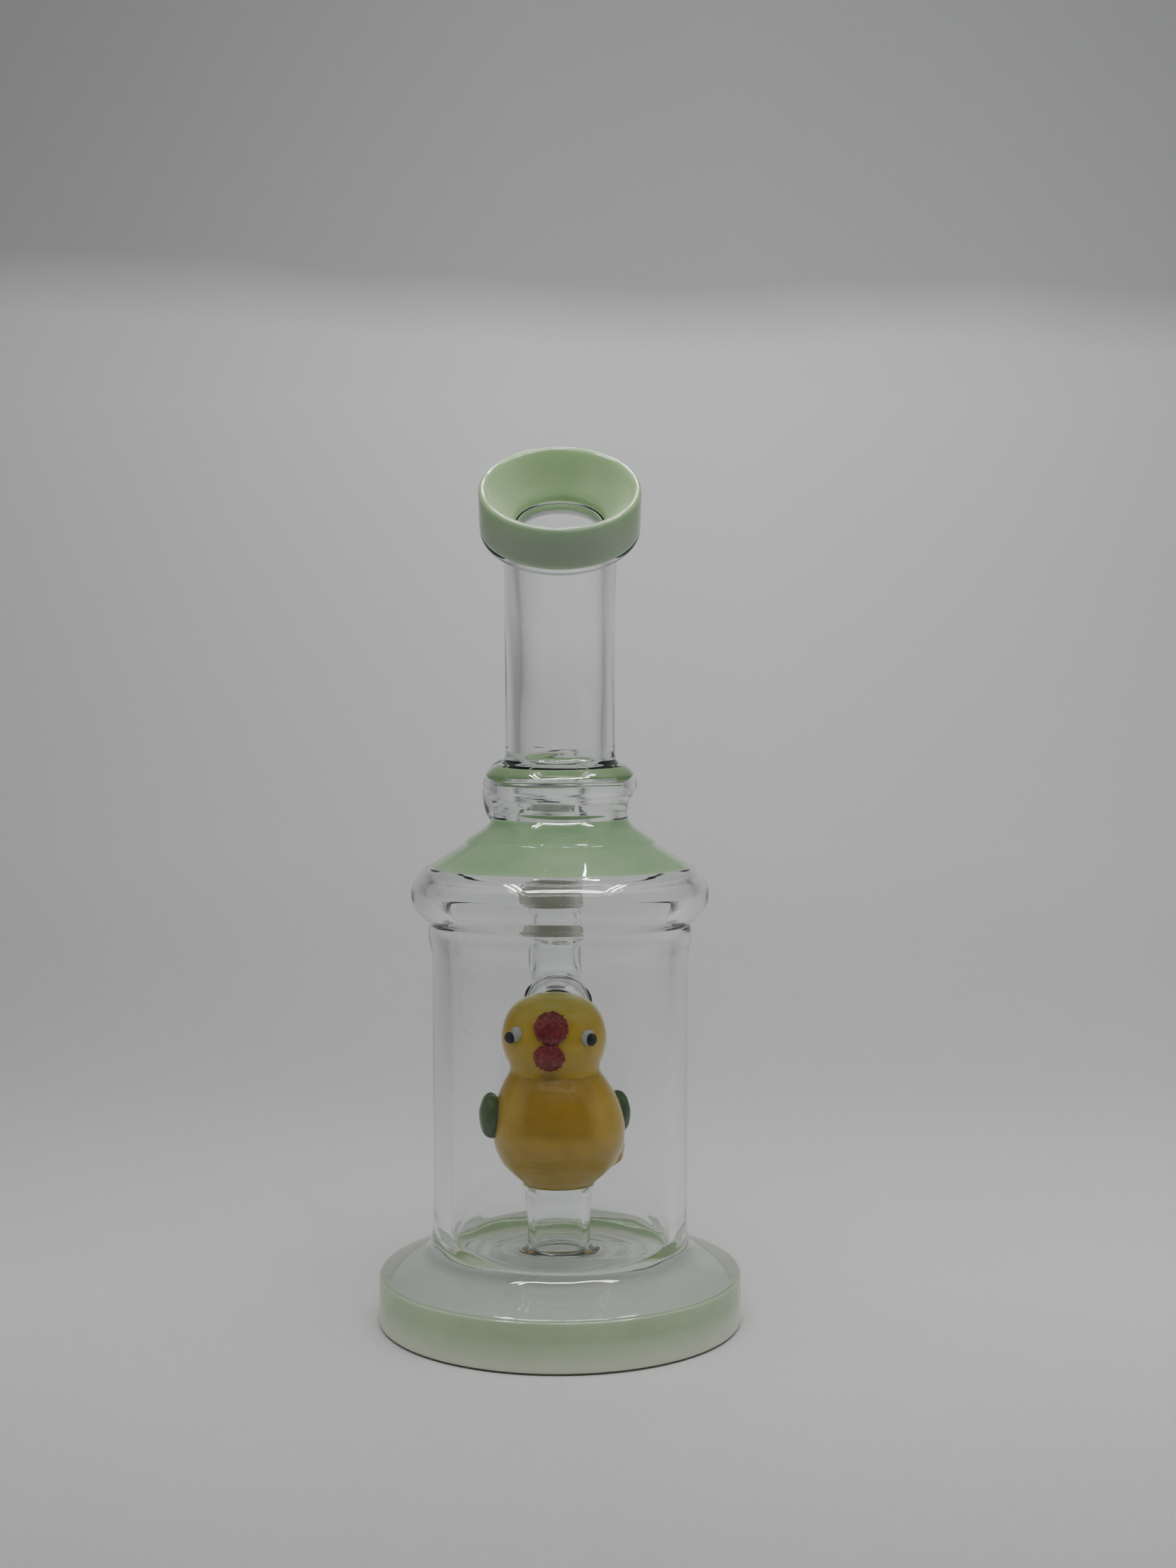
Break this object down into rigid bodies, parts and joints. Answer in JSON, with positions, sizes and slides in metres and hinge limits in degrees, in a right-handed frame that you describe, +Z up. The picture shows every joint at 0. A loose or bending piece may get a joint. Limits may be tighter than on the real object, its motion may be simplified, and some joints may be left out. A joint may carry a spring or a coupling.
{
  "type": "glass water pipe",
  "caption": "Hand-blown clear glass water pipe with milky green foot, shoulder and mouthpiece, a yellow bird percolator in its can and a lift-out bowl.",
  "frame": {"origin": "centre of the flat underside of the foot", "axes": "+Z up along the can, the mouthpiece and the bird's face lean and look towards -Y, the ground joint and bowl stand at +Y"},
  "size_m": [0.09, 0.1093, 0.2141],
  "materials": {
    "clear": "clear hand-blown borosilicate, polished by the flame",
    "milky": "milky green opal glass, glossy",
    "ground": "clear glass with a ground, frosted joint surface",
    "head_yellow": "dense opaque yellow glass, glossy",
    "body_amber": "yellow over darker amber glass, glossy",
    "beak_red": "dense red glass with pink streaks",
    "eye_white": "white enamel glass dot",
    "pupil_black": "black glass dot",
    "wing_green": "deep green glass, slightly see-through"
  },
  "bodies": {
    "pipe": {"foot_disc": "clear", "foot_band": "milky", "can_tube": "clear", "collar_roll": "clear", "shoulder_cone": "milky", "neck_waist": "clear", "neck_ring": "clear", "ring_accent": "milky", "neck_tube": "clear", "mouthpiece_cup": "clear", "mouthpiece_band": "milky", "stem_tube": "clear", "stem_foot": "clear", "bird_body": "body_amber", "bird_head": "head_yellow", "beak_upper": "beak_red", "beak_lower": "beak_red", "eye_white_left": "eye_white", "eye_white_right": "eye_white", "pupil_left": "pupil_black", "pupil_right": "pupil_black", "wing_left": "wing_green", "wing_right": "wing_green", "tail_nub": "body_amber", "inlet_tube": "clear", "inlet_weld": "clear", "joint_elbow": "clear", "joint_socket": "ground"},
    "bowl": {"bowl_cup": "clear", "bowl_stem": "ground"}
  },
  "joints": [
    {"name": "bowl_lift", "type": "slide", "parent": "pipe", "child": "bowl", "axis": [-0.0698, 0, 0.9976], "range_m": [0, 0.045]}
  ]
}
